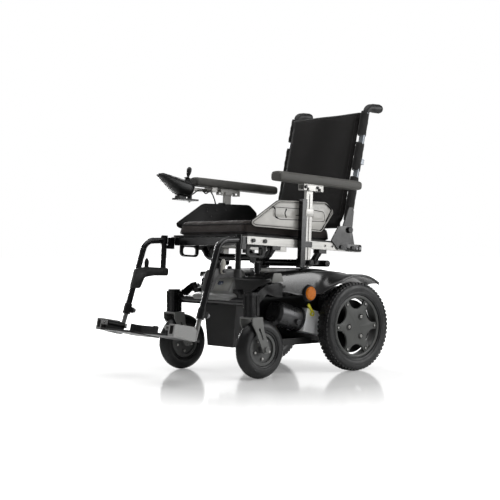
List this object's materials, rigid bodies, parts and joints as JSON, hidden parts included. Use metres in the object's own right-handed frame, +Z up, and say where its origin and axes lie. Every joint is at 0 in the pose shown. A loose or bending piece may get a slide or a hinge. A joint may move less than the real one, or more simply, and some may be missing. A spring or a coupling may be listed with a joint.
{
  "type": "power wheelchair",
  "caption": "Compact rear-wheel-drive power wheelchair with swivel casters, swing-away legrests, height-adjustable armrests, fold-down back and joystick.",
  "frame": {"origin": "floor level, under the middle of the chair's overall length and width", "axes": "the chair faces -Y, its left side is +X, +Z is up"},
  "size_m": [0.5198, 0.9934, 0.974],
  "materials": {
    "frame_black": "satin",
    "moulded_black": "satin",
    "shroud_grey": "satin",
    "battery": "matt",
    "amber_lens": "gloss",
    "motor_metal": "satin",
    "cast_alloy": "cast",
    "rail_silver": "anodised",
    "pan_black": "matt",
    "cloth_black": "woven",
    "strap_black": "webbing",
    "guard_grey": "satin",
    "bolt_black": "black oxide",
    "bolt_steel": "zinc",
    "tyre_black": "matt",
    "rim_graphite": "satin",
    "lever_yellow": "gloss",
    "fork_grey": "satin",
    "latch_grey": "satin",
    "pad_grey": "soft",
    "cane_metal": "satin",
    "grip_rubber": "matt",
    "gimbal_plastic": "matt",
    "button_green": "satin",
    "button_grey": "satin"
  },
  "bodies": {
    "base": {"chassis_frame": "frame_black", "battery_box": "moulded_black", "batteries": "battery", "front_shroud": "shroud_grey", "body_cover": "moulded_black", "reflector_lenses": "amber_lens", "reflector_cups": "moulded_black", "motors": "motor_metal", "gearboxes": "cast_alloy", "seat_mount_frame": "frame_black", "seat_rails": "rail_silver", "seat_pan": "pan_black", "seat_cushion": "cloth_black", "tie_down_loops": "moulded_black", "side_guards": "guard_grey", "arm_receivers": "frame_black", "hanger_receivers": "frame_black", "back_brackets": "frame_black", "frame_bolts": "bolt_black"},
    "drive_wheel_left": {"drive_tyre_left": "tyre_black", "drive_rim_left": "rim_graphite", "wheel_bolts_left": "bolt_steel"},
    "freewheel_lever_left": {"freewheel_lever_left": "lever_yellow"},
    "caster_left": {"caster_fork_left": "fork_grey"},
    "caster_wheel_left": {"caster_tyre_left": "tyre_black", "caster_hub_left": "rim_graphite"},
    "legrest_left": {"hanger_tube_left": "frame_black", "hanger_bracket_left": "frame_black"},
    "latch_left": {"hanger_latch_left": "latch_grey"},
    "leg_extension_left": {"leg_extension_left": "rail_silver"},
    "footplate_left": {"footplate_left": "moulded_black", "heel_loop_left": "strap_black"},
    "armrest_left": {"arm_post_left": "rail_silver", "arm_pad_left": "pad_grey"},
    "drive_wheel_right": {"drive_tyre_right": "tyre_black", "drive_rim_right": "rim_graphite", "wheel_bolts_right": "bolt_steel"},
    "freewheel_lever_right": {"freewheel_lever_right": "lever_yellow"},
    "caster_right": {"caster_fork_right": "fork_grey"},
    "caster_wheel_right": {"caster_tyre_right": "tyre_black", "caster_hub_right": "rim_graphite"},
    "legrest_right": {"hanger_tube_right": "frame_black", "hanger_bracket_right": "frame_black"},
    "latch_right": {"hanger_latch_right": "latch_grey"},
    "leg_extension_right": {"leg_extension_right": "rail_silver"},
    "footplate_right": {"footplate_right": "moulded_black", "heel_loop_right": "strap_black"},
    "armrest_right": {"arm_post_right": "rail_silver", "arm_pad_right": "pad_grey", "joystick_rail": "rail_silver"},
    "backrest": {"back_frame": "cane_metal", "back_upholstery": "cloth_black", "push_grips": "grip_rubber"},
    "joystick_arm": {"pod_bracket": "rail_silver", "pod_case": "moulded_black"},
    "joystick_gimbal": {"joystick_gimbal": "gimbal_plastic"},
    "joystick_stick": {"joystick_stick": "grip_rubber"},
    "power_button": {"power_button": "button_green"},
    "horn_button": {"horn_button": "button_grey"},
    "speed_rocker": {"speed_rocker": "button_grey"}
  },
  "joints": [
    {"name": "drive_wheel_left_spin", "type": "hinge", "parent": "base", "child": "drive_wheel_left", "pos_m": [0.231, 0.30526, 0.159], "axis": [1, 0, 0], "continuous": true},
    {"name": "freewheel_left_release", "type": "hinge", "parent": "base", "child": "freewheel_lever_left", "pos_m": [0.185, 0.14526, 0.208], "axis": [1, 0, 0], "range_deg": [0, 40]},
    {"name": "caster_left_swivel", "type": "hinge", "parent": "base", "child": "caster_left", "pos_m": [0.215, -0.16374, 0.24], "axis": [0, 0, 1], "continuous": true},
    {"name": "caster_wheel_left_spin", "type": "hinge", "parent": "caster_left", "child": "caster_wheel_left", "pos_m": [0.215, -0.12674, 0.1], "axis": [1, 0, 0], "continuous": true},
    {"name": "legrest_left_swing", "type": "hinge", "parent": "base", "child": "legrest_left", "pos_m": [0.209, -0.21412, 0.44196], "axis": [0, 0.0523, 0.9986], "range_deg": [0, 90]},
    {"name": "latch_left_release", "type": "hinge", "parent": "legrest_left", "child": "latch_left", "pos_m": [0.214, -0.28632, 0.36364], "axis": [1, 0, 0], "range_deg": [0, 25]},
    {"name": "leg_left_length", "type": "slide", "parent": "legrest_left", "child": "leg_extension_left", "axis": [0, -0.309, -0.9511], "range_m": [0, 0.09]},
    {"name": "footplate_left_flip", "type": "hinge", "parent": "leg_extension_left", "child": "footplate_left", "pos_m": [0.18, -0.39245, 0.16671], "axis": [0, 0.9781, -0.2079], "range_deg": [0, 82]},
    {"name": "armrest_left_height", "type": "slide", "parent": "base", "child": "armrest_left", "axis": [0, 0.0523, 0.9986], "range_m": [0, 0.075]},
    {"name": "drive_wheel_right_spin", "type": "hinge", "parent": "base", "child": "drive_wheel_right", "pos_m": [-0.231, 0.30526, 0.159], "axis": [1, 0, 0], "continuous": true},
    {"name": "freewheel_right_release", "type": "hinge", "parent": "base", "child": "freewheel_lever_right", "pos_m": [-0.185, 0.14526, 0.208], "axis": [1, 0, 0], "range_deg": [0, 40]},
    {"name": "caster_right_swivel", "type": "hinge", "parent": "base", "child": "caster_right", "pos_m": [-0.215, -0.16374, 0.24], "axis": [0, 0, 1], "continuous": true},
    {"name": "caster_wheel_right_spin", "type": "hinge", "parent": "caster_right", "child": "caster_wheel_right", "pos_m": [-0.215, -0.12674, 0.1], "axis": [1, 0, 0], "continuous": true},
    {"name": "legrest_right_swing", "type": "hinge", "parent": "base", "child": "legrest_right", "pos_m": [-0.209, -0.21412, 0.44196], "axis": [0, -0.0523, -0.9986], "range_deg": [0, 90]},
    {"name": "latch_right_release", "type": "hinge", "parent": "legrest_right", "child": "latch_right", "pos_m": [-0.214, -0.28632, 0.36364], "axis": [1, 0, 0], "range_deg": [0, 25]},
    {"name": "leg_right_length", "type": "slide", "parent": "legrest_right", "child": "leg_extension_right", "axis": [0, -0.309, -0.9511], "range_m": [0, 0.09]},
    {"name": "footplate_right_flip", "type": "hinge", "parent": "leg_extension_right", "child": "footplate_right", "pos_m": [-0.18, -0.39245, 0.16671], "axis": [0, -0.9781, 0.2079], "range_deg": [0, 82]},
    {"name": "armrest_right_height", "type": "slide", "parent": "base", "child": "armrest_right", "axis": [0, 0.0523, 0.9986], "range_m": [0, 0.075]},
    {"name": "backrest_fold", "type": "hinge", "parent": "base", "child": "backrest", "pos_m": [0, 0.29989, 0.50515], "axis": [-1, 0, 0], "range_deg": [-68, 12]},
    {"name": "joystick_swing_away", "type": "hinge", "parent": "armrest_right", "child": "joystick_arm", "pos_m": [-0.246, -0.07036, 0.62469], "axis": [0, -0.0523, -0.9986], "range_deg": [0, 85]},
    {"name": "stick_fore_aft", "type": "hinge", "parent": "joystick_arm", "child": "joystick_gimbal", "pos_m": [-0.215, -0.11077, 0.66217], "axis": [1, 0, 0], "range_deg": [-14, 14]},
    {"name": "stick_side", "type": "hinge", "parent": "joystick_gimbal", "child": "joystick_stick", "pos_m": [-0.215, -0.11077, 0.66217], "axis": [0, 0.972, -0.2351], "range_deg": [-14, 14]},
    {"name": "power_button_press", "type": "slide", "parent": "joystick_arm", "child": "power_button", "axis": [0, -0.2351, -0.972], "range_m": [0, 0.0015]},
    {"name": "horn_button_press", "type": "slide", "parent": "joystick_arm", "child": "horn_button", "axis": [0, -0.2351, -0.972], "range_m": [0, 0.0015]},
    {"name": "speed_rocker_tilt", "type": "hinge", "parent": "joystick_arm", "child": "speed_rocker", "pos_m": [-0.215, -0.19289, 0.69695], "axis": [0, 0.972, -0.2351], "range_deg": [-5, 5]}
  ]
}
